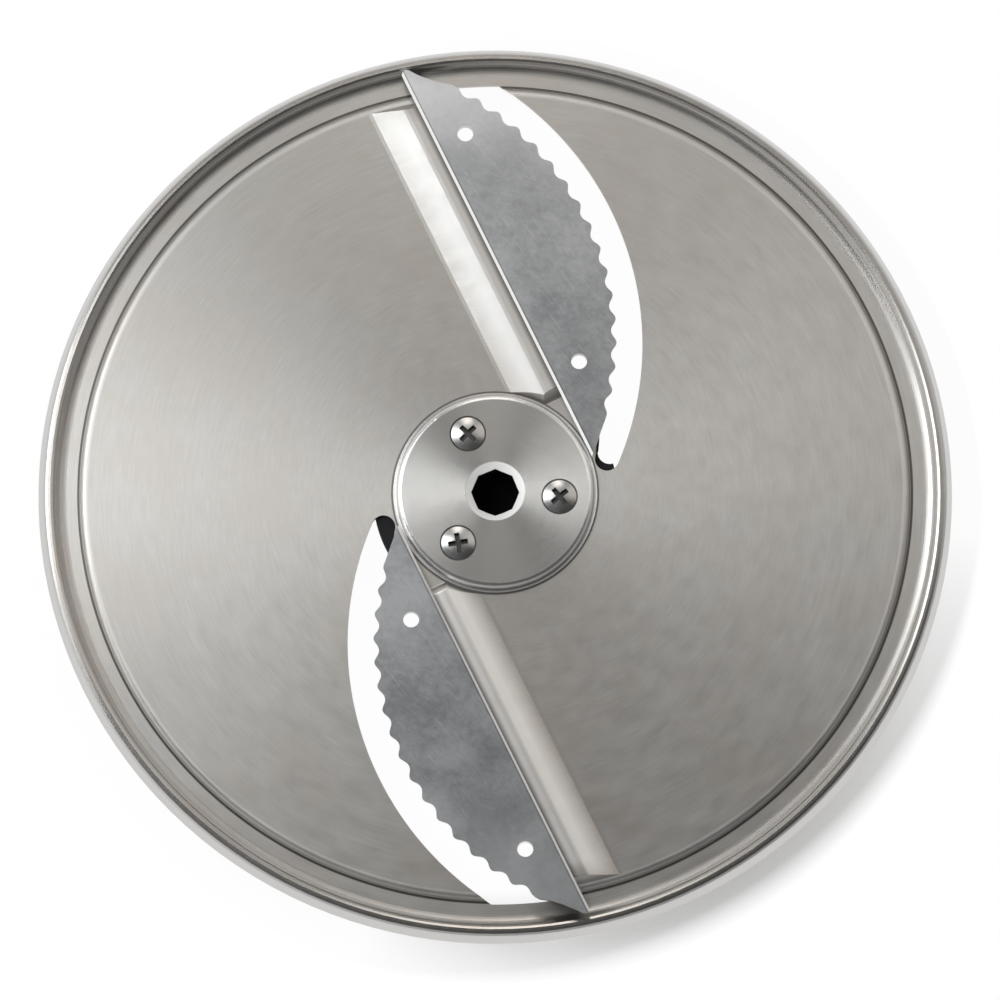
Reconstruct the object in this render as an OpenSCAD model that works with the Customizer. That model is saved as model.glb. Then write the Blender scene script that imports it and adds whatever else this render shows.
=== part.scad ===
/* [Disc] */
// Outer diameter over the rim
disc_d = 205; // [198:1:216]
// Thickness of the pressed sheet
sheet_t = 1.2; // [0.9:0.1:1.4]
// Height of the slicing face above the end of the drive hub
face_h = 14; // [13:0.5:20]
// Distance from the rim's outer edge in to the foot of the face's step
rim_w = 9; // [8.6:0.1:11]
// Step from the slicing face down to the rim's flat band
face_step = 0.9; // [0.5:0.1:1.2]
// Height of the rim's crest above the flat band
crest_rise = 1.7; // [1.2:0.1:2.3]
// Drop from the crest to the cut edge of the rim
flank_drop = 3.6; // [3:0.2:6]
// Angle of the rim's outer flank below the horizontal
flank_a = 70; // [62:1:82]

/* [Blades] */
// Angle by which a blade's back edge leans from the disc's Y axis
blade_turn = 26; // [15:1:35]
// Gap between a blade's back edge and the lip of the hub cap
back_gap = 0.05; // [0.05:0.05:1.5]
// Width of a blade at its widest place, over the teeth
blade_w = 23.2; // [21:0.1:24]
// Width of a blade at its chin, where the cutting edge meets the foot of the face's step
chin_w = 9; // [7:0.1:11]
// Distance along the back edge from the axis back to a blade's inner tip
tip_back = 2.46; // [1:0.02:4]
// Thickness of a blade
blade_t = 1; // [0.8:0.1:1.4]
// Distance from tooth to tooth
tooth_pitch = 5.5; // [4:0.1:8]
// Depth of the hollow between two teeth
tooth_depth = 1.2; // [0.6:0.1:1.6]
// Width of the ground bevel under the teeth
bevel_w = 2.6; // [1.5:0.1:3.5]
// Thickness left at the tips of the teeth
tip_t = 0.25; // [0.1:0.05:0.4]
// Chamfer along the back edge
back_chamfer = 0.6; // [0.2:0.05:0.7]
// Diameter of a blade's two locating holes
hole_d = 3.6; // [2.5:0.1:4.2]
// Distance of the locating holes from the back edge
hole_in = 6.95; // [5.5:0.05:8]
// Distance along the back edge from the inner tip to the inner locating hole
hole_tip = 20.81; // [20:0.01:24]
// Distance along the back edge from the rim's outer edge in to the outer locating hole
hole_rim = 25.85; // [25:0.05:30]
// Distance from the rim's outer edge in to the tip of a blade's beak
beak_in = 3.8; // [3.5:0.1:6]
// Radius of the beak's tip
beak_round = 1.05; // [0.5:0.05:1.5]

/* [Slots and ramps] */
// Gap in plan between the teeth and the lip of the slot
slot_gap = 5.8; // [4.5:0.1:7]
// Radius of the slot's round inner end
slot_end = 2.7; // [2.2:0.1:2.9]
// Height of the blade's landing above the slicing face
land_h = 2; // [1.5:0.1:3.5]
// Sheet left around the locating holes on the slot's side
land_margin = 2; // [1.5:0.1:3]
// Bow of the landing's free edge between the two locating holes
land_bow = 4.7; // [3:0.1:6]
// Flat strip of the landing behind the blade
land_lead = 2.3; // [1.5:0.1:3]
// Width of the ramp that falls from the landing to the face
ramp_w = 8.2; // [6:0.1:10]
// Length of the short slopes that end the ramp and the landing
press_slope = 2.2; // [1.8:0.1:2.6]

/* [Hub] */
// Diameter of the steel hub cap
cap_d = 44.6; // [42:0.1:44.8]
// Height of the hub cap above the slicing face
cap_h = 2.2; // [2:0.1:3]
// Radius of the hub cap's upper edge
cap_round = 1.3; // [0.8:0.1:1.5]
// Width of the thin lip around the foot of the hub cap
cap_lip = 0.6; // [0.3:0.05:0.6]
// Height of that lip
cap_lip_h = 0.35; // [0.2:0.05:0.6]
// Width across the flats of the eight-sided drive hole
drive_af = 10; // [8:0.1:11]
// Width of the lead-in cone around the drive hole
drive_lead = 1.8; // [1.2:0.1:2.4]
// Wall of the hub cap's spigot at the flats of the drive hole
spigot_wall = 4.2; // [3:0.1:5]
// Depth of the spigot below the slicing face
spigot_l = 5.3; // [4.5:0.1:6.5]
// Radial play of the spigot in the disc and the drive hub
spigot_fit = 0.1; // [0.05:0.05:0.25]
// Reach of the drive hub's flange past the hub cap
flange_out = 5.1; // [4.5:0.1:5.6]
// Margin that the flange's notch leaves along the end of the first slot
notch_in = 1.35; // [0.8:0.05:2]
// Thickness of the drive hub's flange
flange_t = 3; // [2:0.1:4]
// Wall of the drive hub's boss outside the screw holes
boss_wall = 3; // [2:0.1:5]
// Diameter of the bore for the machine's shaft
shaft_d = 14; // [12:0.1:15]
// Chamfer at the ends of the drive hub
hub_chamfer = 0.8; // [0.4:0.1:1.2]

/* [Screws] */
// Distance from the hub cap's edge in to the middle of a screw
screw_in = 7.8; // [7:0.1:8.2]
// Direction of the first screw from the axis
screw_turn = -5; // [-60:1:60]
// Diameter of a screw's shank
screw_d = 4; // [3:0.1:4.2]
// Diameter of a screw's countersunk head
head_d = 7.5; // [6.5:0.1:8]
// Height of the head's raised crown
head_crown = 0.55; // [0.3:0.05:0.8]
// Depth of the head's rim below the top of the hub cap
head_sink = 0.18; // [0.1:0.02:0.3]
// Length of a screw from the rim of its head to its point
screw_l = 11; // [8:0.5:12]
// Play around a screw's head and shank
screw_fit = 0.05; // [0.02:0.01:0.1]
// Length across the cross recess
recess_l = 4.5; // [3.5:0.1:5]
// Width of the arms of the cross recess
recess_w = 1.15; // [0.8:0.05:1.4]
// Depth of the cross recess below the crown
recess_h = 1.7; // [1:0.1:2]

/* [Hidden] */
$fn = 96;
big = 200;
skin = 1;

rim_r = disc_d / 2;
face_z = face_h;
foot_r = rim_r - rim_w;
land_z = face_z + land_h;
cap_r = cap_d / 2;
cap_z = face_z + cap_h;
drive_r = drive_af / 2;
spigot_r = drive_r + spigot_wall;
spigot_z = face_z - spigot_l;
under_z = face_z - sheet_t;
flange_r = cap_r + flange_out;
flange_z = under_z - flange_t;
screw_ring = cap_r - screw_in;
boss_r = screw_ring + screw_d / 2 + boss_wall;

// Bends of the rolled sheet, measured on its upper side
step_out_r = sheet_t + 0.2;
step_in_r = 0.6;
wall_r = 3.5;
crest_r = sheet_t + 0.4;
step_a = acos(1 - face_step / (step_out_r + step_in_r));
wall_a = acos(1 - crest_rise / (wall_r + crest_r));
step_run = (step_out_r + step_in_r) * sin(step_a);
wall_run = (wall_r + crest_r) * sin(wall_a);
flank_l = (flank_drop - crest_r * (1 - cos(flank_a))) / sin(flank_a);
flank_run = crest_r * sin(flank_a) + flank_l * cos(flank_a);
band_l = rim_w - flank_run - wall_run;
bend_steps = 6;

// The cutting edge is an arc over the inner tip, the widest place and the chin
back_x = cap_r + cap_lip + back_gap;
slot_out_r = foot_r + 0.4;
chin_y = sqrt(pow(slot_out_r, 2) - pow(back_x + chin_w, 2));
edge_l = chin_y + tip_back;
share = chin_w / blade_w;
widest_l = (edge_l - sqrt(pow(edge_l, 2) * (1 - share)
    + share * chin_w * (blade_w - chin_w))) / share;
edge_r = (pow(widest_l, 2) + pow(blade_w, 2)) / (2 * blade_w);
edge_c = [back_x + blade_w - edge_r, widest_l - tip_back];
hole_r = hole_d / 2;
hole_x = back_x + hole_in;
hole_y = [hole_tip - tip_back, rim_r - hole_rim];
// Angles about that centre at the blade's inner tip and at its chin
inner_a = -acos((back_x - edge_c.x) / edge_r);
chin_a = meet_a(edge_c, edge_r, slot_out_r);
plain_in = 8.8;
plain_out = 1.3;
first_a = inner_a + plain_in;
teeth_a = chin_a - plain_out - first_a;
tooth_n = round(teeth_a / (tooth_pitch / edge_r * 180 / PI));
tooth_a = teeth_a / tooth_n;
tooth_steps = 10;
tip_sharpness = 1.25;
beak_a = 35;
beak_bow = 0.55;

// The landing's free edge is an arc past both locating holes
slot_r = edge_r + slot_gap;
slot_end_a = inner_a + 1.1;
slot_lip = 0.5;
land_half = (hole_y[1] - hole_y[0]) / 2;
land_r = (pow(land_half, 2) + pow(land_bow, 2)) / (2 * land_bow);
land_c = [hole_x + hole_r + land_margin + land_bow - land_r, (hole_y[0] + hole_y[1]) / 2];
ramp_x = back_x - land_lead - ramp_w;
press_out = foot_r - 5;
press_rim = foot_r - step_run - 0.35;
press_in = 15.5;
press_tip = 2 - tip_back + press_slope;
press_ring = cap_r + cap_lip + 0.4;
// Places along a pressed slope, and the share of it that rounds its foot and crest
slope_t = [0, 0.1, 0.2, 0.8, 0.9, 1];
soft = 0.2;

head_r = head_d / 2;
head_z = cap_z - head_sink;
cone_h = head_r - screw_d / 2;
crown_r = (pow(head_r, 2) + pow(head_crown, 2)) / (2 * head_crown);
point_h = 0.8;
thread_land = 0.25;

// Points along an arc
function arc(c, r, a0, a1, n) =
    [for (i = [0 : n]) let (a = a0 + (a1 - a0) * i / n) c + r * [cos(a), sin(a)]];
// Angle about c at which a circle around c meets a larger one around the axis
function meet_a(c, r, outer) =
    atan2(-c.y, -c.x)
    + acos((c * c + pow(r, 2) - pow(outer, 2)) / (2 * norm(c) * r));
function heading(p) = atan2(p.y, p.x);

// Points on the upper side of a bent sheet: each is [distance, height, heading]
function on(s, d) = [s[0] + d * cos(s[2]), s[1] + d * sin(s[2]), s[2]];
function bent(s, r, a) =
    let (k = sign(a), cx = s[0] - k * r * sin(s[2]), cz = s[1] + k * r * cos(s[2]))
    [cx + k * r * sin(s[2] + a), cz - k * r * cos(s[2] + a), s[2] + a];
function last(v) = v[len(v) - 1];
// One move is [straight length, bend radius, bend angle]
function move(s, m) =
    let (e = on(s, m[0]))
    concat(m[0] > 0 ? [e] : [], m[2] == 0 ? [] :
        [for (i = [1 : bend_steps]) bent(e, m[1], m[2] * i / bend_steps)]);
function trail(s, moves, i = 0) =
    i == len(moves) ? [] :
    let (part = move(s, moves[i])) concat(part, trail(last(part), moves, i + 1));
function under(s, t) = [s[0] + t * sin(s[2]), s[1] - t * cos(s[2])];

// Upper side of the disc, from the centre hole to the cut edge of the rim
rim_path = let (start = [spigot_r + spigot_fit, face_z, 0])
    concat([start], trail(start, [
        [foot_r - step_run - start[0], step_out_r, -step_a],
        [0, step_in_r, step_a],
        [band_l, wall_r, wall_a],
        [0, crest_r, -wall_a - flank_a],
        [flank_l, 0, 0]]));

// Radius of the cutting edge at an angle: rounded teeth with wider hollows between
function edge_at(a) =
    let (u = (a - first_a) / tooth_a,
         wave = u < 0 || u > tooth_n ? 1 : pow((1 + cos(360 * u)) / 2, tip_sharpness))
    edge_r - tooth_depth * (1 - wave);
function edge_pt(a) = edge_c + edge_at(a) * [cos(a), sin(a)];
function curve(a, b, c, t) = a * pow(1 - t, 2) + b * 2 * t * (1 - t) + c * t * t;

// Height of a pressed slope, as a share, at a place along it
function rise(t) =
    (t < soft ? t * t / (2 * soft)
        : t > 1 - soft ? 1 - soft - pow(1 - t, 2) / (2 * soft)
        : t - soft / 2) / (1 - soft);
function slope(a, b) = [for (t = slope_t) [a + (b - a) * t, face_z + land_h * rise(t)]];

beak_c = let (x = back_x + beak_round)
    [x, sqrt(pow(rim_r - beak_in, 2) - x * x) - beak_round];
beak_start = beak_c + beak_round * [cos(beak_a), sin(beak_a)];
chin = edge_pt(chin_a);
beak_mid = beak_start + beak_bow * norm(chin - beak_start) * [sin(beak_a), -cos(beak_a)];

blade_outline = concat(
    [edge_pt(inner_a)],
    [for (i = [0 : tooth_n * tooth_steps]) edge_pt(first_a + i * tooth_a / tooth_steps)],
    [for (i = [0 : 7]) curve(chin, beak_mid, beak_start, i / 7)],
    [for (a = [beak_a + 14.5 : 14.5 : 180]) beak_c + beak_round * [cos(a), sin(a)]]);

// Opening between the landing's free edge and the lip in front of the teeth
slot_end_c = edge_c + (slot_r - slot_end) * [cos(slot_end_a), sin(slot_end_a)];
lip = arc(edge_c, slot_r, slot_end_a, meet_a(edge_c, slot_r, slot_out_r), 48);
land_edge = arc(land_c, land_r, meet_a(land_c, land_r, slot_out_r),
    heading(slot_end_c - land_c) + 2.5, 24);
slot_outline = concat(lip,
    arc([0, 0], slot_out_r, heading(last(lip)) + 1, heading(land_edge[0]) - 1, 6),
    land_edge,
    arc(slot_end_c, slot_end, slot_end_a - 180, slot_end_a - 15, 11));

// Both blades, ramps and slots are the same, half a turn apart
module at_blade(i) {
    rotate(180 * i + blade_turn) children();
}

module hole_places() {
    for (y = hole_y) translate([hole_x, y]) children();
}

module screw_places() {
    for (i = [0 : 2])
        rotate(screw_turn + 120 * i) translate([screw_ring, 0]) children();
}

// Raised form over the face: a long ramp behind the blade and short slopes elsewhere
module pressing() {
    crest_x = ramp_x + ramp_w;
    difference() {
        intersection() {
            union() {
                long_side([ramp_x, crest_x], [press_in, press_out]);
                long_side([back_x + 0.3, back_x + 0.3 + press_slope], [press_tip, press_out]);
            }
            linear_extrude(big) polygon(concat([[0, -foot_r], [0, foot_r]],
                arc(edge_c, slot_r - slot_lip, chin_a + 12, inner_a, 10)));
            rotate_extrude()
                polygon([[0, face_z], [press_rim, face_z],
                    [press_rim - press_slope, land_z + skin], [0, land_z + skin]]);
        }
        rotate_extrude()
            polygon([[0, face_z - skin], [press_ring, face_z - skin], [press_ring, face_z],
                [press_ring + press_slope, land_z + skin], [0, land_z + skin]]);
    }
}

// A form that rises between two distances x and lies between two distances y
module long_side(x, y) {
    intersection() {
        rotate([90, 0, 0]) translate([0, 0, -big]) linear_extrude(2 * big)
            polygon(concat(slope(x[0], x[1]), [[foot_r, land_z], [foot_r, face_z]]));
        rotate([90, 0, 90]) linear_extrude(big)
            polygon(concat(slope(y[0] - press_slope, y[0]),
                [for (i = [len(slope_t) - 1 : -1 : 0]) slope(y[1] + press_slope, y[1])[i]]));
    }
}

module disc_plate() {
    color([0.66, 0.64, 0.61])
    difference() {
        union() {
            rotate_extrude($fn = 180)
                polygon(concat([for (s = rim_path) [s[0], s[1]]],
                    [for (i = [len(rim_path) - 1 : -1 : 0]) under(rim_path[i], sheet_t)]));
            for (i = [0, 1]) at_blade(i) pressing();
        }
        for (i = [0, 1]) at_blade(i) {
            translate([0, 0, -sheet_t]) pressing();
            translate([0, 0, -skin]) linear_extrude(big) {
                polygon(slot_outline);
                hole_places() circle(hole_r, $fn = 48);
            }
        }
        translate([0, 0, -skin]) linear_extrude(big)
            screw_places() circle(screw_d / 2 + thread_land, $fn = 48);
    }
}

module blade() {
    difference() {
        translate([0, 0, land_z]) linear_extrude(blade_t) difference() {
            polygon(blade_outline);
            hole_places() circle(hole_r, $fn = 48);
        }
        // Ground bevel on the underside of the toothed edge
        translate([edge_c.x, edge_c.y, land_z]) rotate(first_a)
            rotate_extrude(angle = teeth_a, $fn = 180)
                polygon([[edge_r - bevel_w, 0], [edge_r - bevel_w, -skin],
                    [edge_r + skin, -skin],
                    [edge_r + skin, (blade_t - tip_t) * (bevel_w + skin) / bevel_w]]);
        // Chamfer along the upper back edge
        translate([back_x, 0, land_z + blade_t]) rotate([90, 0, 0])
            translate([0, 0, -big]) linear_extrude(2 * big)
                polygon([[-skin, skin], [-skin, -back_chamfer - skin], [0, -back_chamfer],
                    [back_chamfer, 0], [back_chamfer + skin, skin]]);
    }
}

module blade_1() {
    color([0.56, 0.57, 0.59]) at_blade(0) blade();
}

module blade_2() {
    color([0.56, 0.57, 0.59]) at_blade(1) blade();
}

module hub_cap() {
    color([0.72, 0.7, 0.67])
    difference() {
        rotate_extrude($fn = 144) {
            translate([0, spigot_z]) square([spigot_r, cap_z - spigot_z]);
            translate([0, face_z]) square([cap_r + cap_lip, cap_lip_h]);
            translate([0, face_z]) square([cap_r - cap_round, cap_h]);
            translate([0, face_z]) intersection() {
                square([cap_r, cap_h]);
                union() {
                    square([cap_r, cap_h - cap_round]);
                    translate([cap_r - cap_round, cap_h - cap_round])
                        circle(cap_round, $fn = 48);
                }
            }
        }
        translate([0, 0, spigot_z - skin]) cylinder(h = big, r = drive_r / cos(22.5), $fn = 8);
        translate([0, 0, cap_z - drive_lead]) cylinder(h = drive_lead + skin,
            r1 = drive_r, r2 = drive_r + drive_lead + skin);
        screw_places() {
            translate([0, 0, spigot_z - skin])
                cylinder(h = big, r = screw_d / 2 + screw_fit, $fn = 48);
            translate([0, 0, head_z - cone_h]) cylinder(h = cone_h + skin,
                r1 = screw_d / 2 + screw_fit, r2 = head_r + screw_fit + skin, $fn = 48);
        }
    }
}

module drive_hub() {
    bore_r = shaft_d / 2;
    color([0.05, 0.05, 0.055])
    difference() {
        rotate_extrude() polygon([
            [bore_r + hub_chamfer, 0], [boss_r - hub_chamfer, 0], [boss_r, hub_chamfer],
            [boss_r, flange_z - hub_chamfer], [boss_r + hub_chamfer, flange_z],
            [flange_r - hub_chamfer, flange_z], [flange_r, flange_z + hub_chamfer],
            [flange_r, under_z], [spigot_r + spigot_fit, under_z],
            [spigot_r + spigot_fit, spigot_z], [bore_r, spigot_z], [bore_r, hub_chamfer]]);
        screw_places() translate([0, 0, head_z - screw_l - skin])
            cylinder(h = screw_l + skin, r = screw_d / 2 + screw_fit, $fn = 48);
        // Notch under the first slot, which leaves a rim around the slot's inner end
        at_blade(0) translate([notch_in, notch_in, flange_z - skin])
            linear_extrude(flange_t + 2 * skin) polygon(slot_outline);
    }
}

// Raised countersunk screw with a cross recess
module hub_screw(i) {
    turn = [45, 20, 45][i];
    color([0.78, 0.77, 0.75])
    rotate(screw_turn + 120 * i) translate([screw_ring, 0, head_z])
    difference() {
        union() {
            intersection() {
                translate([0, 0, head_crown - crown_r]) sphere(crown_r, $fn = 96);
                cylinder(h = head_d, r = head_r, $fn = 48);
            }
            translate([0, 0, -cone_h]) cylinder(h = cone_h, r1 = screw_d / 2, r2 = head_r, $fn = 48);
            translate([0, 0, point_h - screw_l]) cylinder(h = screw_l - cone_h - point_h,
                r = screw_d / 2, $fn = 48);
            translate([0, 0, -screw_l]) cylinder(h = point_h, r1 = screw_d / 2 - point_h,
                r2 = screw_d / 2, $fn = 48);
        }
        rotate(turn) translate([0, 0, head_crown - recess_h]) for (q = [0, 90])
            rotate(q) translate([-recess_l / 2, -recess_w / 2, 0]) cube([recess_l, recess_w, head_d]);
    }
}

module hub_screw_1() {
    hub_screw(0);
}

module hub_screw_2() {
    hub_screw(1);
}

module hub_screw_3() {
    hub_screw(2);
}

disc_plate();
blade_1();
blade_2();
hub_cap();
drive_hub();
hub_screw_1();
hub_screw_2();
hub_screw_3();
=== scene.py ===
# %% [markdown]
# # Food processor slicing disc
# The object is a round steel sheet with a rolled rim, two saw-toothed blades on
# pressed ramps, and a turned steel hub cap held by three screws on a black hub.
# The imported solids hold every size. This lesson gives them their finish: brushed
# sheet, ground blades, a turned hub and bright screws, all made from nodes.

# %% Load the frame
import math

import bmesh
import bpy
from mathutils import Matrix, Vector

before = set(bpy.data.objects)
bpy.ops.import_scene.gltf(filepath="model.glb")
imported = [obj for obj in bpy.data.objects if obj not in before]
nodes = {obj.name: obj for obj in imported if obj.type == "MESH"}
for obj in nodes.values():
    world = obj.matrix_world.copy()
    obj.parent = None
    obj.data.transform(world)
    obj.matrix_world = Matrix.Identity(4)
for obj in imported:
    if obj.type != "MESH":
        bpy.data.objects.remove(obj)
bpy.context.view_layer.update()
MM = 0.001
print("pieces from the packed model:", sorted(nodes))

# %% [markdown]
# ## Camera
# The disc is seen almost straight from above, with a long lens from far away, so
# circles stay nearly round and the near and far rim look the same size. A lens
# six metres away gives that calm look, and its focal length sets the width seen.

# %% Camera
VIEW_WIDTH = 224.3 * MM
TILT = math.radians(78)
REACH = 6.0
SENSOR_WIDTH = 36
aim = Vector((1.076, -1.535, 13.67)) * MM
camera = bpy.data.objects.new("camera", bpy.data.cameras.new("camera"))
bpy.context.scene.collection.objects.link(camera)
camera.data.sensor_width = SENSOR_WIDTH
camera.data.lens = SENSOR_WIDTH * REACH / VIEW_WIDTH
camera.data.clip_start, camera.data.clip_end = 0.1, 60
back = Vector((0, -math.cos(TILT), math.sin(TILT)))
camera.location = aim + back * REACH
camera.rotation_euler = (-back).to_track_quat("-Z", "Y").to_euler()
bpy.context.scene.camera = camera
print("lens of", round(camera.data.lens), "mm at", REACH, "m")

# %% [markdown]
# ## Node helpers
# A material is a small machine of nodes. `feed` gives an input a value or joins it
# to a socket, and `put` adds a node and feeds its inputs by name. Each of the
# others adds one node, or a few, and gives back what comes out.

# %% Node helpers
FLOAT, VECTOR = "NodeSocketFloat", "NodeSocketVector"


def feed(tree, socket, value):
    """A socket takes another socket, or a plain value."""
    if isinstance(value, bpy.types.NodeSocket):
        tree.links.new(value, socket)
    else:
        socket.default_value = value


def put(tree, kind, settings=None, **inputs):
    """A new node of that kind: settings are its own, inputs its sockets."""
    made = tree.nodes.new(kind)
    for name, value in (settings or {}).items():
        setattr(made, name, value)
    for name, value in inputs.items():
        feed(tree, made.inputs[name.replace("_", " ")], value)
    return made


def put_in_order(tree, kind, settings, *values):
    """A new node whose first inputs take the values in their order."""
    made = put(tree, kind, settings)
    for socket, value in zip(made.inputs, values):
        feed(tree, socket, value)
    return made


def maths(tree, operation, *values):
    """A number worked out from other numbers."""
    settings = {"operation": operation}
    return put_in_order(tree, "ShaderNodeMath", settings, *values).outputs[0]


def vectors(tree, operation, *values):
    """A vector worked out from others, or the number that the operation gives."""
    settings = {"operation": operation}
    outputs = put_in_order(tree, "ShaderNodeVectorMath", settings, *values).outputs
    return outputs["Value" if operation in ("LENGTH", "DOT_PRODUCT") else "Vector"]


def spread(tree, value, low, high, to_low, to_high):
    """A value from one range laid over another, and held at its ends."""
    return put_in_order(tree, "ShaderNodeMapRange", None,
                        value, low, high, to_low, to_high).outputs[0]


def weigh(tree, share, first, second):
    """That share of the first number, and the rest of the second."""
    return maths(tree, "ADD", maths(tree, "MULTIPLY", first, share),
                 maths(tree, "MULTIPLY", second, 1 - share))


def blend_colours(tree, share, first, second):
    """One colour where the share is 0, the other where it is 1."""
    made = put(tree, "ShaderNodeMix", {"data_type": "RGBA"})
    # The node's inputs 1 to 5 are for numbers and vectors, 6 and 7 for colours.
    for index, value in ((0, share), (6, first), (7, second)):
        feed(tree, made.inputs[index], value)
    return made.outputs[2]


def mix_shaders(tree, share, first, second):
    """One shader where the share is 0, the other where it is 1."""
    return put_in_order(tree, "ShaderNodeMixShader", None, share, first, second).outputs[0]


print("helpers ready")

# %% [markdown]
# A group packs a few nodes into one that several materials share. `new_group`
# opens one with named sockets, and `use` places it in a material.

# %% Group helpers
def new_group(name, takes, gives):
    """A shader node group with named sockets, its start and its end."""
    tree = bpy.data.node_groups.new(name, "ShaderNodeTree")
    for socket, (kind, value) in takes.items():
        made = tree.interface.new_socket(socket, in_out="INPUT", socket_type=kind)
        if value is not None:
            made.default_value = value
    for socket, kind in gives.items():
        tree.interface.new_socket(socket, in_out="OUTPUT", socket_type=kind)
    start, end = tree.nodes.new("NodeGroupInput"), tree.nodes.new("NodeGroupOutput")
    return tree, start.outputs, end.inputs


def use(tree, group, **inputs):
    """The outputs of a group that is placed in a material."""
    return put(tree, "ShaderNodeGroup", {"node_tree": group}, **inputs).outputs


print("group helpers ready")

# %% [markdown]
# ## Shared surface effects
# The sheet and the hub were finished while they turned, so their grain runs in
# circles round the axis. A noise that is fed with the direction from the axis and
# the distance from it gives streaks along those circles, with no seam. The same
# group serves the sheet, the rim and the hub cap with its own numbers.

# %% Group: turned grain
LEVEL = (1, 1, 0)
BROAD_SHARE = 0.12
turned_grain, taken, given = new_group(
    "turned_grain",
    {"Place": (VECTOR, None), "Streaks": (FLOAT, 10.0), "Fineness": (FLOAT, 2500.0)},
    {"Tone": FLOAT, "Broad": FLOAT})
flat = vectors(turned_grain, "MULTIPLY", taken["Place"], LEVEL)
radius = vectors(turned_grain, "LENGTH", flat)
around = put(turned_grain, "ShaderNodeVectorMath", {"operation": "SCALE"},
             Vector=vectors(turned_grain, "NORMALIZE", flat), Scale=taken["Streaks"])
for target, fineness, detail in (("Tone", 1.0, 4.0), ("Broad", BROAD_SHARE, 2.0)):
    rings = put(turned_grain, "ShaderNodeCombineXYZ", Z=maths(
        turned_grain, "MULTIPLY", radius,
        maths(turned_grain, "MULTIPLY", taken["Fineness"], fineness)))
    grain = put(turned_grain, "ShaderNodeTexNoise", Scale=1.0, Detail=detail, Roughness=0.6,
                Vector=vectors(turned_grain, "ADD", around.outputs[0], rings.outputs[0]))
    feed(turned_grain, given[target], grain.outputs[0])
print("group", turned_grain.name)

# %% [markdown]
# Cold-rolled sheet that has been handled, washed and polished is never even: soft
# clouds a few millimetres to some centimetres wide change its tone a little. Two
# sizes of noise, added, give one cloud value for every metal here.

# %% Group: clouds
WIDE_SHARE = 0.65
SMALLER_BY = 9.0
clouds, taken, given = new_group(
    "clouds", {"Place": (VECTOR, None), "Size": (FLOAT, 0.02)}, {"Tone": FLOAT})
scale = maths(clouds, "DIVIDE", 1.0, taken["Size"])
wide = put(clouds, "ShaderNodeTexNoise", Vector=taken["Place"], Scale=scale,
           Detail=3.0, Roughness=0.55)
small = put(clouds, "ShaderNodeTexNoise", Vector=taken["Place"],
            Scale=maths(clouds, "MULTIPLY", scale, SMALLER_BY), Detail=4.0, Roughness=0.65)
feed(clouds, given["Tone"], weigh(clouds, WIDE_SHARE, wide.outputs[0], small.outputs[0]))
print("group", clouds.name)

# %% [markdown]
# A ground blade keeps fine scratches that cross each other. Noise that is stretched
# a long way in one direction looks like hair-fine lines, and only its peaks are
# kept. A slow noise bends the lines a little. The group takes the direction as an
# angle, so two of them cross.

# %% Group: scratches
STRETCH = (0.022, 1, 0.022)
BEND = (4 * MM, 4 * MM, 0)
SOFT_EDGE = 0.08
scratches, taken, given = new_group(
    "scratches",
    {"Place": (VECTOR, None), "Turn": (FLOAT, 0.0), "Fineness": (FLOAT, 3000.0),
     "Kept": (FLOAT, 0.62)},
    {"Mask": FLOAT})
turned = put(scratches, "ShaderNodeVectorRotate", {"rotation_type": "Z_AXIS"},
             Vector=taken["Place"], Angle=taken["Turn"]).outputs[0]
bend = put(scratches, "ShaderNodeTexNoise", Vector=turned, Scale=40.0, Detail=1.0)
bent = vectors(scratches, "ADD", turned,
               vectors(scratches, "MULTIPLY", bend.outputs[1], BEND))
lines = put(scratches, "ShaderNodeTexNoise", Scale=taken["Fineness"], Detail=2.0,
            Roughness=0.5, Vector=vectors(scratches, "MULTIPLY", bent, STRETCH))
feed(scratches, given["Mask"], spread(
    scratches, lines.outputs[0], taken["Kept"],
    maths(scratches, "ADD", taken["Kept"], SOFT_EDGE), 0.0, 1.0))
print("group", scratches.name)

# %% [markdown]
# ## Steel materials
# The sheet and the hub cap share one recipe: a metal shader, a colour that wavers
# with the clouds and the grain, and a roughness that wavers with the grain. The
# sheet also has a very low bump. Turned steel needs a direction across its circles,
# so that its shine spreads that way and opens into fans, as on a lathe-turned face.
# That direction points straight out from the axis, and its strength is a plain
# number on the socket. Noise mostly stays between 0.3 and 0.7, so that range is
# spread over each pair of colours or roughnesses.

# %% Steel recipe
NOISE_RANGE = (0.3, 0.7)
GRAIN_DEPTH = 0.2 * MM


def blank_material(name):
    """A new material without nodes, and its tree."""
    made = bpy.data.materials.new(name)
    made.use_nodes = True
    made.node_tree.nodes.clear()
    return made, made.node_tree


def start_material(name):
    """A new material, its tree, its shader, and the place on the piece."""
    made, tree = blank_material(name)
    shader = put(tree, "ShaderNodeBsdfPrincipled")
    put(tree, "ShaderNodeOutputMaterial", Surface=shader.outputs[0])
    place = put(tree, "ShaderNodeTexCoord").outputs["Object"]
    return made, tree, shader, place


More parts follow.
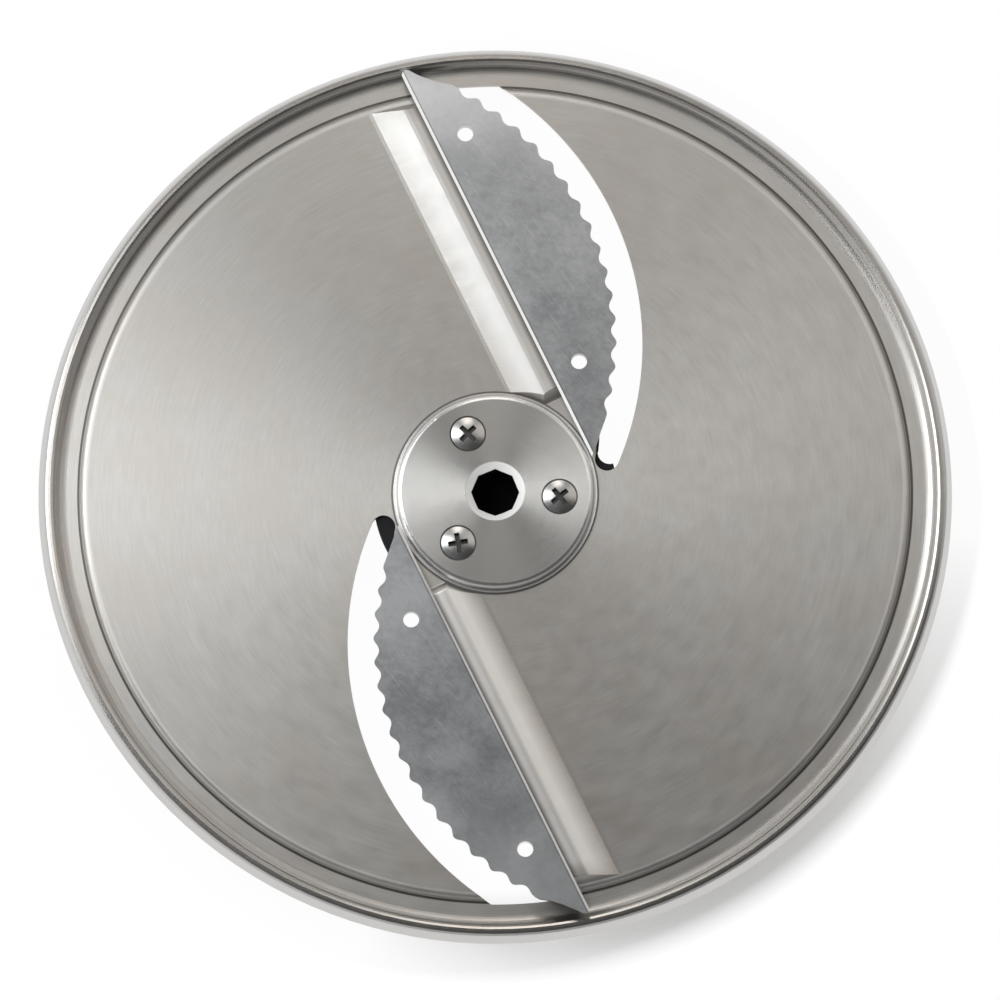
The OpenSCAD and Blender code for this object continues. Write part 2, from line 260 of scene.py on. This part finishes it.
def turned_steel(name, dark, light, rough, anisotropy, grain_share, cloud_size,
                 bump=0.0, streaks=10.0):
    """Steel that was finished while it turned, as start_material gives it."""
    made, tree, shader, place = start_material(name)
    grain = use(tree, turned_grain, Place=place, Streaks=streaks)
    cloud = use(tree, clouds, Place=place, Size=cloud_size)["Tone"]
    tone = weigh(tree, grain_share, grain["Tone"], cloud)
    feed(tree, shader.inputs["Base Color"],
         blend_colours(tree, spread(tree, tone, *NOISE_RANGE, 0.0, 1.0), dark, light))
    feed(tree, shader.inputs["Roughness"],
         spread(tree, grain["Broad"], *NOISE_RANGE, *rough))
    shader.inputs["Metallic"].default_value = 1
    shader.inputs["Anisotropic"].default_value = anisotropy
    feed(tree, shader.inputs["Tangent"], vectors(
        tree, "NORMALIZE", vectors(tree, "MULTIPLY", place, LEVEL)))
    if bump:
        bumped = put(tree, "ShaderNodeBump", Strength=bump, Distance=GRAIN_DEPTH,
                     Height=grain["Tone"])
        feed(tree, shader.inputs["Normal"], bumped.outputs[0])
    return made, tree, shader, place


print("recipe ready")

# %% [markdown]
# Masks find places by their distance from the axis, by their height, or by their
# distance from the middle line of the blades. Most of them carry painted shade in
# seams, creases and gaps, or painted highlights and reflections on ramps, edges and
# the beak. `recolour` lays a new colour over the old one where a mask is 1.

# %% Masks
Y, Z = 1, 2
BLADE_TURN = math.radians(26)


def recolour(tree, shader, mask, colour, share):
    """The base colour goes that share towards another one where the mask is 1."""
    old = shader.inputs["Base Color"].links[0].from_socket
    feed(tree, shader.inputs["Base Color"], blend_colours(
        tree, maths(tree, "MULTIPLY", mask, share), old, (*colour, 1)))


def along_axis(tree, place, axis):
    """How far a place lies along one of the three axes."""
    return put(tree, "ShaderNodeSeparateXYZ", Vector=place).outputs[axis]


def level_way(angle):
    """The level direction at that angle, anticlockwise from the right."""
    return math.cos(angle), math.sin(angle), 0


def radius_of(tree, place, centre=(0, 0, 0)):
    """The level distance from an upright axis through that centre."""
    return vectors(tree, "LENGTH", vectors(
        tree, "MULTIPLY", vectors(tree, "SUBTRACT", place, centre), LEVEL))


def ring_mask(tree, place, radius, width, centre=(0, 0, 0)):
    """1 on a thin ring round an axis, falling to 0 half a width to either side."""
    far = radius_of(tree, place, centre)
    off = maths(tree, "ABSOLUTE", maths(tree, "SUBTRACT", far, radius))
    return spread(tree, off, width * 0.3, width * 0.5, 1.0, 0.0)


def across_blades(tree, place):
    """The distance from the middle line, which is level with both blade backs."""
    across = vectors(tree, "DOT_PRODUCT", place, level_way(BLADE_TURN))
    return maths(tree, "ABSOLUTE", across)


print("masks ready")

# %% [markdown]
# The sheet is brushed stainless steel, slightly warm, with warmer patches. The two
# ramps carry a painted highlight, so they are the brightest strips, less so on the
# flat landing at their top. The far ramp faces the big lamp, so it needs a darker
# colour than the near one. Painted shade lies in a dark line beside each blade, in
# the step at the foot of the rim and round the hub cap. The raised shoulder and the
# outer lip carry painted highlights, and the rolled rim is smoother than the face.

# %% Sheet steel
PATCH_SIZE = 20 * MM
RAMP_FOOT, RAMP_CREST = 14.05 * MM, 15.3 * MM
RAMP_FADE, RAMP_STOP, RAMP_END = 86.5 * MM, 91.5 * MM, 92.5 * MM
LANDING_TOP = 16.0 * MM
BLADE_BACK = 22.95 * MM
SHOULDER_HIGHLIGHT_RING, STEP_RING, HUB_RING = 92.2 * MM, 93.5 * MM, 23.1 * MM
ROLLED_RIM = (97 * MM, 98 * MM)
OUTER_LIP = (100.4 * MM, 101.0 * MM)
# Colour of the painted shade in the step at the foot of the rim and round the hub cap.
PAINTED_CREASE_SHADE = (0.04, 0.036, 0.03)

disc_steel, tree, shader, place = turned_steel(
    "disc_steel_brushed", (0.405, 0.386, 0.362, 1), (0.48, 0.462, 0.438, 1),
    rough=(0.35, 0.41), anisotropy=0.5, grain_share=0.7, cloud_size=30 * MM, bump=0.03)
out = radius_of(tree, place)
height = along_axis(tree, place, Z)
patches = use(tree, clouds, Place=place, Size=PATCH_SIZE)["Tone"]
recolour(tree, shader, spread(tree, patches, 0.47, 0.6, 0.0, 1.0), (0.43, 0.385, 0.345), 0.4)

# Painted highlight on the two ramps: full on the slopes, fading near the rim and weaker on
# the flat landing.
ramp_highlight_area = spread(tree, height, RAMP_FOOT, RAMP_CREST, 0.0, 1.0)
for start, stop, left_over in ((RAMP_FADE, RAMP_STOP, 0.2), (RAMP_STOP, RAMP_END, 0.0)):
    ramp_highlight_area = maths(tree, "MULTIPLY", ramp_highlight_area,
                    spread(tree, out, start, stop, 1.0, left_over))
on_top = spread(tree, height, LANDING_TOP - 0.2 * MM, LANDING_TOP, 0.0, 1.0)
ramp_highlight_area = maths(tree, "SUBTRACT", ramp_highlight_area, maths(tree, "MULTIPLY", on_top, 0.45))
# The far ramp gets a darker painted highlight than the near one, because it faces the big
# lamp.
far_ramp_dimming = spread(tree, along_axis(tree, place, Y), -20 * MM, 20 * MM, 0.0, 1.0)
ramp_highlight_colour = blend_colours(tree, far_ramp_dimming, (0.94, 0.92, 0.89, 1), (0.63, 0.612, 0.59, 1))
feed(tree, shader.inputs["Base Color"], blend_colours(
    tree, ramp_highlight_area, shader.inputs["Base Color"].links[0].from_socket, ramp_highlight_colour))

# Painted shadow: a dark line on the landing beside each blade back.
blade_contact_shadow = spread(tree, across_blades(tree, place),
                  BLADE_BACK - 1.3 * MM, BLADE_BACK - 0.1 * MM, 0.0, 1.0)
# Painted highlight on the outer lip; the loop below lays another painted highlight on the
# raised shoulder ring.
lip_highlight = spread(tree, out, *OUTER_LIP, 0.0, 1.0)
# Painted shadow beside the blades, painted highlights on the outer lip and the shoulder, and
# painted shade in the rim step and round the hub cap.
for mask, colour, share in (
        (maths(tree, "MULTIPLY", blade_contact_shadow, on_top), (0.06, 0.054, 0.047), 0.8),
        (lip_highlight, (0.58, 0.57, 0.555), 1.0),
        (ring_mask(tree, place, SHOULDER_HIGHLIGHT_RING, 2.0 * MM), (0.75, 0.73, 0.70), 0.35),
        (ring_mask(tree, place, STEP_RING, 0.7 * MM), PAINTED_CREASE_SHADE, 0.85),
        (ring_mask(tree, place, HUB_RING, 0.6 * MM), PAINTED_CREASE_SHADE, 0.7)):
    recolour(tree, shader, mask, colour, share)

roughness = maths(tree, "ADD", shader.inputs["Roughness"].links[0].from_socket,
                  maths(tree, "MULTIPLY", ramp_highlight_area, 0.08))
feed(tree, shader.inputs["Roughness"], maths(
    tree, "MULTIPLY", roughness, spread(tree, out, *ROLLED_RIM, 1.0, 0.65)))
print("made", disc_steel.name)

# %% [markdown]
# The hub cap was turned on a lathe from lighter steel. Its shine stretches further
# across the circles than the sheet's does, so its fans are sharp. The bead at its
# edge carries a painted highlight, and so does the cone that leads into the hole,
# which is less metallic so that its painted light stays pale from every side.
# Painted shade lies in a thin dark gap round each screw.

# %% Hub steel
SCREW_TURNS = [math.radians(turn) for turn in (-5, 115, 235)]
SCREW_RING = 14.5 * MM
SCREW_GAP = 3.85 * MM
LEAD_IN_EDGE, LEAD_IN_HEIGHT = (6.6 * MM, 6.9 * MM), (14.3 * MM, 14.5 * MM)
BEAD_EDGE = (20.8 * MM, 21.1 * MM)

hub_steel, tree, shader, place = turned_steel(
    "hub_steel_turned", (0.53, 0.515, 0.49, 1), (0.60, 0.585, 0.56, 1),
    rough=(0.24, 0.26), anisotropy=0.85, grain_share=0.8, cloud_size=30 * MM, streaks=4.0)
out = radius_of(tree, place)
# Painted highlight on the cone that leads into the hole, made less metallic so that it stays
# pale.
lead_in_highlight = maths(tree, "MULTIPLY", spread(tree, out, *LEAD_IN_EDGE, 1.0, 0.0),
                spread(tree, along_axis(tree, place, Z), *LEAD_IN_HEIGHT, 0.0, 1.0))
feed(tree, shader.inputs["Metallic"], spread(tree, lead_in_highlight, 0.0, 1.0, 1.0, 0.35))
# Painted highlight on the bead at the edge of the cap.
bead_highlight = spread(tree, out, *BEAD_EDGE, 0.0, 1.0)
recolour(tree, shader, lead_in_highlight, (0.95, 0.94, 0.92), 1.0)
recolour(tree, shader, bead_highlight, (0.75, 0.74, 0.72), 1.0)
# Painted shade in the thin gap round each screw head.
for turn in SCREW_TURNS:
    centre = [SCREW_RING * part for part in level_way(turn)]
    recolour(tree, shader, ring_mask(tree, place, SCREW_GAP, 0.6 * MM, centre),
             (0.05, 0.046, 0.04), 0.85)
print("made", hub_steel.name)

# %% [markdown]
# The blades are another steel, harder, cooler in colour and flat ground. Their
# shine is even, and two sets of crossing scratches catch the light. The beak at the
# outer end carries a painted reflection, so it is lighter. The chamfer along the
# straight back carries a painted highlight, with painted shade beside it, where the
# chamfer meets the flat.

# %% Blade steel
BACK_CHAMFER = 0.6 * MM
BEAK_REFLECTION_START, BEAK_REFLECTION_END = 66 * MM, 92 * MM


def ground_steel(name, dark, light):
    """Flat ground blade steel, from its dark clouds to its light ones."""
    made, tree, shader, place = start_material(name)
    cloud = use(tree, clouds, Place=place, Size=14 * MM)["Tone"]
    first = use(tree, scratches, Place=place, Turn=0.9, Fineness=7000.0, Kept=0.62)
    second = use(tree, scratches, Place=place, Turn=0.35, Fineness=7600.0, Kept=0.64)
    marks = maths(tree, "MAXIMUM", first["Mask"], second["Mask"])
    body = blend_colours(tree, spread(tree, cloud, 0.39, 0.61, 0.0, 1.0), dark, light)
    feed(tree, shader.inputs["Base Color"], body)
    feed(tree, shader.inputs["Roughness"], spread(tree, cloud, *NOISE_RANGE, 0.27, 0.32))
    shader.inputs["Metallic"].default_value = 1
    # Painted reflection on the beak at the outer end of each blade.
    beak_reflection = spread(tree, radius_of(tree, place), BEAK_REFLECTION_START, BEAK_REFLECTION_END, 0.0, 1.0)
    from_middle = across_blades(tree, place)
    edge = BLADE_BACK + BACK_CHAMFER
    # Painted shade beside the back chamfer, and a painted highlight on the chamfer itself.
    crease_shade = spread(tree, from_middle, edge + 0.1 * MM, edge + 0.35 * MM, 1.0, 0.0)
    chamfer_highlight = spread(tree, from_middle, edge - 0.05 * MM, edge, 1.0, 0.0)
    for mask, colour, share in ((marks, (0.62, 0.62, 0.62), 0.5),
                                (beak_reflection, (0.72, 0.72, 0.72), 0.6),
                                (crease_shade, (0.05, 0.05, 0.05), 0.55),
                                (chamfer_highlight, (0.98, 0.975, 0.96), 1.0)):
        recolour(tree, shader, mask, colour, share)
    return made


blade_steel = ground_steel(
    "blade_steel_ground", (0.315, 0.319, 0.326, 1), (0.455, 0.458, 0.462, 1))
print("made", blade_steel.name)

# %% [markdown]
# The screws are small, bright and bought in, so they are the smoothest metal here.
# Their cross recess carries painted shade at its floor. The drive hub is moulded
# black plastic with the faint grain of its mould.

# %% Screw steel and hub plastic
RECESS_FLOOR, RECESS_TOP = 15.0 * MM, 15.7 * MM
MOULD_DEPTH = 0.1 * MM

screw_steel, tree, shader, place = start_material("screw_steel_bright")
cloud = use(tree, clouds, Place=place, Size=4 * MM)["Tone"]
feed(tree, shader.inputs["Base Color"], blend_colours(
    tree, cloud, (0.40, 0.395, 0.385, 1), (0.50, 0.495, 0.48, 1)))
feed(tree, shader.inputs["Roughness"], spread(tree, cloud, *NOISE_RANGE, 0.2, 0.3))
shader.inputs["Metallic"].default_value = 1
# Painted shade at the floor of the cross recess.
recess_shade = spread(tree, along_axis(tree, place, Z), RECESS_FLOOR, RECESS_TOP, 1.0, 0.0)
recolour(tree, shader, recess_shade, (0.03, 0.028, 0.025), 0.8)

hub_black, tree, shader, place = start_material("hub_plastic_black")
mould = put(tree, "ShaderNodeTexNoise", Vector=place, Scale=1800.0, Detail=3.0).outputs[0]
feed(tree, shader.inputs["Base Color"], blend_colours(
    tree, mould, (0.008, 0.008, 0.009, 1), (0.016, 0.016, 0.017, 1)))
feed(tree, shader.inputs["Roughness"], spread(tree, mould, *NOISE_RANGE, 0.6, 0.75))
shader.inputs["Specular IOR Level"].default_value = 0.15
bumped = put(tree, "ShaderNodeBump", Strength=0.2, Distance=MOULD_DEPTH, Height=mould)
feed(tree, shader.inputs["Normal"], bumped.outputs[0])
print("made", screw_steel.name, "and", hub_black.name)

# %% [markdown]
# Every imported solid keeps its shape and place, and only takes a new material in
# each of its slots. The two blades share one material, and so do the three screws.

# %% Give each solid its finish
finishes = {"disc_plate": disc_steel, "blade_1": blade_steel, "blade_2": blade_steel,
            "hub_cap": hub_steel, "drive_hub": hub_black, "hub_screw_1": screw_steel,
            "hub_screw_2": screw_steel, "hub_screw_3": screw_steel}
for name, finish in finishes.items():
    for slot_index in range(len(nodes[name].data.materials)):
        nodes[name].data.materials[slot_index] = finish
print("finished", len(finishes), "solids")

# %% [markdown]
# ## Floor
# The disc lies on pure white, with a soft shadow at the lower right. A white
# floor alone would come out grey, so the camera and reflections see it part
# as plain white and part as a lit surface that holds the shadow. The white share
# is lower on the shadow's side, close to the rim, and high under the disc, because
# the slots look through to clean white. A painted black spot under the hub stands
# in for the shade in the drive hole and keeps it dark. From below the floor is
# clear, so that the underside can be seen.

# %% Floor
SHADOW_WAY = math.radians(-55)
FLOOR_HALF = 8
SHADE_SPOT_START, GLOW_START, SHADE_SPOT_END = 14 * MM, 15 * MM, 18 * MM
UNDER_START, UNDER_END = 88 * MM, 94 * MM
RIM_START, RIM_END = 103.5 * MM, 109.5 * MM

floor_mesh = bmesh.new()
bmesh.ops.create_grid(floor_mesh, x_segments=2, y_segments=2, size=FLOOR_HALF)
floor_data = bpy.data.meshes.new("floor")
floor_mesh.to_mesh(floor_data)
floor_mesh.free()
floor = bpy.data.objects.new("floor", floor_data)
bpy.context.scene.collection.objects.link(floor)

floor_white, tree = blank_material("floor_white")
place = put(tree, "ShaderNodeTexCoord").outputs["Object"]
far = vectors(tree, "LENGTH", place)
towards = vectors(tree, "DOT_PRODUCT", vectors(tree, "NORMALIZE", place),
                  level_way(SHADOW_WAY))
outside = maths(tree, "MAXIMUM", spread(tree, towards, 0.62, 1.0, 0.95, 0.25),
                spread(tree, far, RIM_START, RIM_END, 0.2, 1.0))
under = spread(tree, far, UNDER_START, UNDER_END, 1.0, 0.0)
beside = maths(tree, "MULTIPLY", maths(tree, "SUBTRACT", 1.0, under), outside)
white_share = maths(tree, "MULTIPLY", spread(tree, far, GLOW_START, SHADE_SPOT_END, 0.0, 1.0),
                    maths(tree, "ADD", maths(tree, "MULTIPLY", under, 0.97), beside))

path = put(tree, "ShaderNodeLightPath").outputs
seen = maths(tree, "MAXIMUM", path["Is Camera Ray"], maths(
    tree, "MAXIMUM", path["Is Glossy Ray"], path["Is Transmission Ray"]))
# The paper is painted black under the hub: painted shade for the drive hole.
paper = put(tree, "ShaderNodeBsdfDiffuse", Color=blend_colours(
    tree, spread(tree, far, SHADE_SPOT_START, SHADE_SPOT_END, 0.0, 1.0),
    (0.01, 0.01, 0.01, 1), (0.9, 0.9, 0.9, 1)))
glow = put(tree, "ShaderNodeEmission", Color=(1, 1, 1, 1), Strength=1.0)
above = mix_shaders(tree, maths(tree, "MULTIPLY", seen, white_share),
                    paper.outputs[0], glow.outputs[0])
clear = put(tree, "ShaderNodeBsdfTransparent").outputs[0]
from_below = put(tree, "ShaderNodeNewGeometry").outputs["Backfacing"]
put(tree, "ShaderNodeOutputMaterial", Surface=mix_shaders(tree, from_below, above, clear))
floor_data.materials.append(floor_white)
print("floor", [round(v, 1) for v in floor.dimensions])

# %% [markdown]
# ## Light
# One big soft lamp stands at the left, close by. It opens the wide fans of shine
# and throws the soft shadow. A weak warm lamp at the far right and a small one at
# the far side each add a faint fan of their own. The lamps are low in power, so
# that the pale strips don't burn out to flat white.

# %% Lamps
def soft_lamp(name, turn, height, distance, size, power, colour):
    """A square lamp at that direction and height in degrees, facing the disc."""
    lamp = bpy.data.lights.new(name, "AREA")
    lamp.shape, lamp.size, lamp.energy, lamp.color = "SQUARE", size, power, colour
    turn, height = math.radians(turn), math.radians(height)
    out = Vector((math.cos(turn) * math.cos(height), math.sin(turn) * math.cos(height),
                  math.sin(height)))
    made = bpy.data.objects.new(name, lamp)
    made.location = Vector((0, 0, 10 * MM)) + out * distance
    made.rotation_euler = (-out).to_track_quat("-Z", "Y").to_euler()
    made.visible_camera = False
    bpy.context.scene.collection.objects.link(made)
    return made


left = soft_lamp("left_lamp", turn=174, height=56, distance=0.6, size=0.45,
                 power=2.55, colour=(0.94, 0.975, 1.0))
right = soft_lamp("right_lamp", turn=38, height=56, distance=1.0, size=0.5,
                  power=0.5, colour=(1.0, 0.92, 0.84))
streak = soft_lamp("streak_lamp", turn=93, height=50, distance=0.5, size=0.14,
                   power=0.16, colour=(1.0, 0.95, 0.9))
print("lamps:", left.name, right.name, streak.name)

# %% [markdown]
# Shiny metal mirrors the whole room, so a photographer hangs black card near it to
# keep it from looking flat and white. One dark card hangs level over the lower half
# of the disc. Only shiny surfaces see it, so it throws no shadow.

# %% Dark card
CARD_HALF, CARD_RATIO = 0.5, 0.6
CARD_PLACE = (0.05, -0.26, 0.4)
card_black = bpy.data.materials.new("card_black")
card_black.use_nodes = True
card_shader = card_black.node_tree.nodes["Principled BSDF"]
card_shader.inputs["Base Color"].default_value = (0.06, 0.06, 0.06, 1)


def dark_card(name, shape):
    """A card of that shape that only shiny surfaces see."""
    data = bpy.data.meshes.new(name)
    shape.to_mesh(data)
    shape.free()
    data.materials.append(card_black)
    made = bpy.data.objects.new(name, data)
    bpy.context.scene.collection.objects.link(made)
    made.visible_camera = made.visible_diffuse = made.visible_shadow = False
    return made


flat_sheet = bmesh.new()
bmesh.ops.create_grid(flat_sheet, x_segments=1, y_segments=1, size=CARD_HALF)
bmesh.ops.scale(flat_sheet, vec=(1, CARD_RATIO, 1), verts=flat_sheet.verts)
bmesh.ops.translate(flat_sheet, vec=CARD_PLACE, verts=flat_sheet.verts)
roof_card = dark_card("roof_card", flat_sheet)
print("card", roof_card.name, [round(v, 1) for v in roof_card.dimensions])

# %% [markdown]
# The room itself lights the metal too: its horizon is white, dimmer to the lower
# right, and its ceiling is grey. The camera sees plain white instead of the room.

# %% World
DIM_WAY = math.radians(-35)
DIM_HORIZON, CEILING = 0.35, 0.42
world = bpy.data.worlds.new("studio")
bpy.context.scene.world = world
world.use_nodes = True
tree = world.node_tree
tree.nodes.clear()
way = put(tree, "ShaderNodeTexCoord").outputs["Generated"]
towards = vectors(tree, "DOT_PRODUCT", way, level_way(DIM_WAY))
horizon = spread(tree, towards, -0.2, 1.0, 1.0, DIM_HORIZON)
room = spread(tree, along_axis(tree, way, Z), 0.05, 0.75, horizon, CEILING)
tinted = blend_colours(tree, room, (0, 0, 0, 1), (1, 1, 1, 1))
grey_room = put(tree, "ShaderNodeBackground", Color=tinted, Strength=1.0)
white = put(tree, "ShaderNodeBackground", Color=(1, 1, 1, 1), Strength=1.0)
path = put(tree, "ShaderNodeLightPath").outputs
seen = maths(tree, "MAXIMUM", path["Is Camera Ray"], path["Is Transmission Ray"])
put(tree, "ShaderNodeOutputWorld", Surface=mix_shaders(
    tree, seen, grey_room.outputs[0], white.outputs[0]))
print("world", world.name)

# %% [markdown]
# ## View
# The colours go to the picture as they are, with no film curve.

# %% View
bpy.context.scene.view_settings.view_transform = "Standard"
print("view", bpy.context.scene.view_settings.view_transform)
